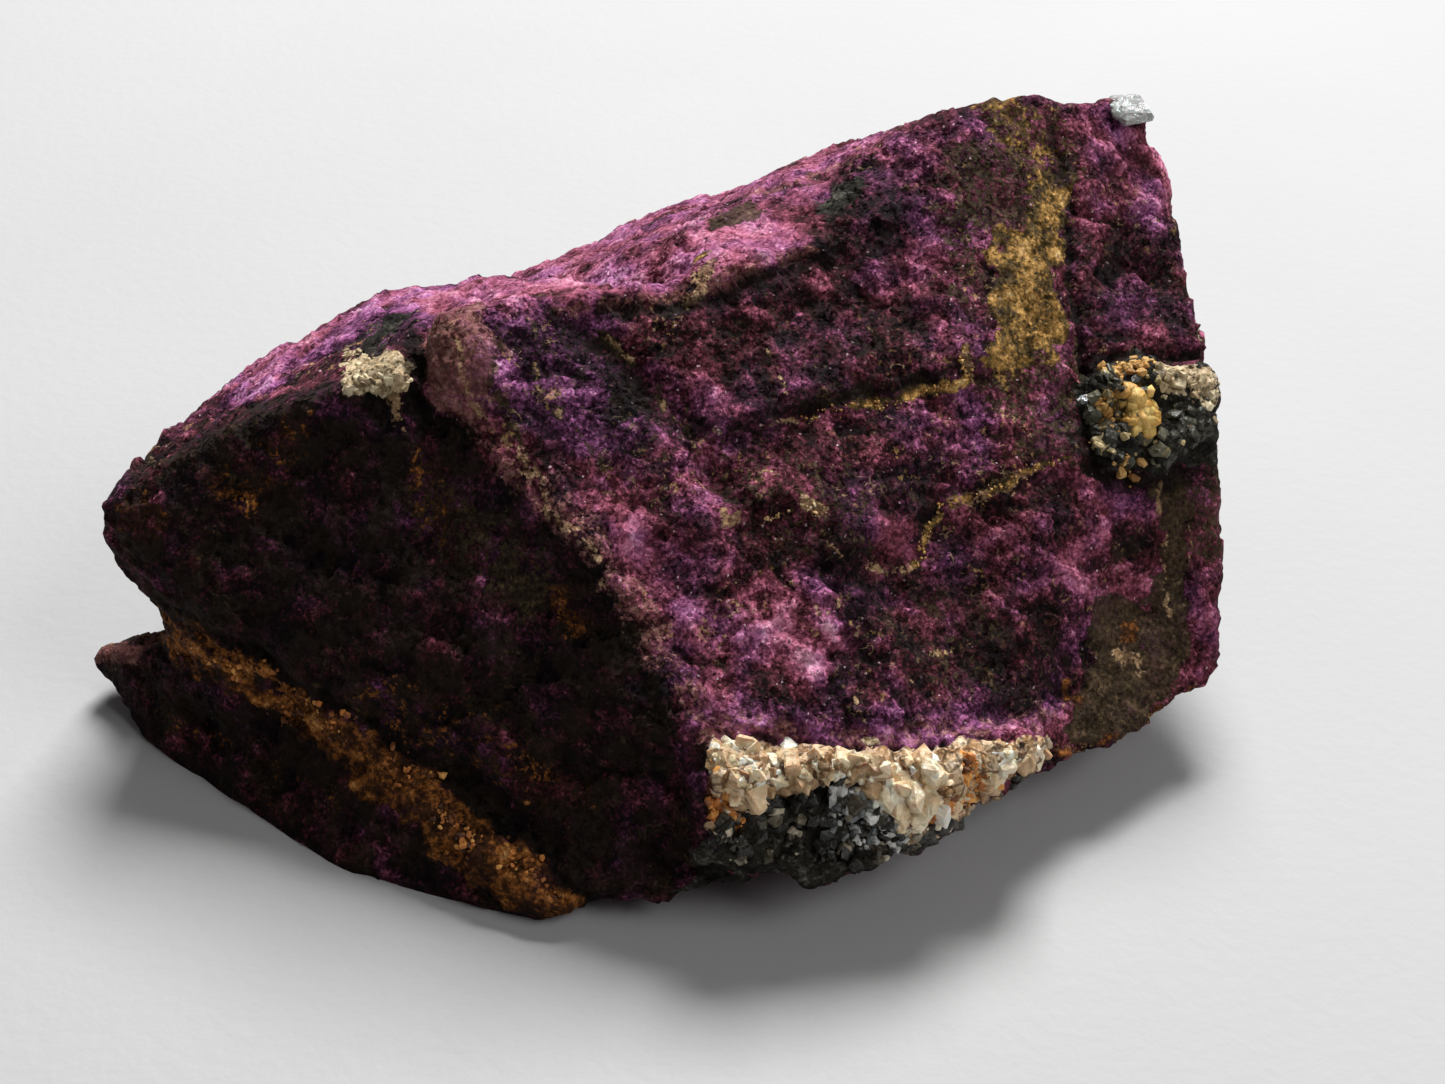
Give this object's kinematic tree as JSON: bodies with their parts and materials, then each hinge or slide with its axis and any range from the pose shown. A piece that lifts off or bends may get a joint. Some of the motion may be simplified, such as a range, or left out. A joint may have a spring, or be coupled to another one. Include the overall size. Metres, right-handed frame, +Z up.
{
  "type": "purpurite specimen",
  "caption": "Broken lump of purple phosphate mineral with ledges, a rusty vein and a pale quartz seam along its foot, lying on a flat.",
  "frame": {"origin": "centre of the bottom of the stone's box, on the flat that it rests on", "axes": "+X along the length, from the pointed left end to the blunt right end; +Y from the front to the back; +Z up"},
  "size_m": [0.0542, 0.0378, 0.0239],
  "materials": {
    "purple_phosphate": "dull, finely granular broken mineral with a weak silky glint",
    "quartz_feldspar": "pale, blocky, waxy crystal grains",
    "ochre_crust": "earthy crust"
  },
  "bodies": {
    "root": {"purpurite_stone": "purple_phosphate"}
  },
  "joints": []
}
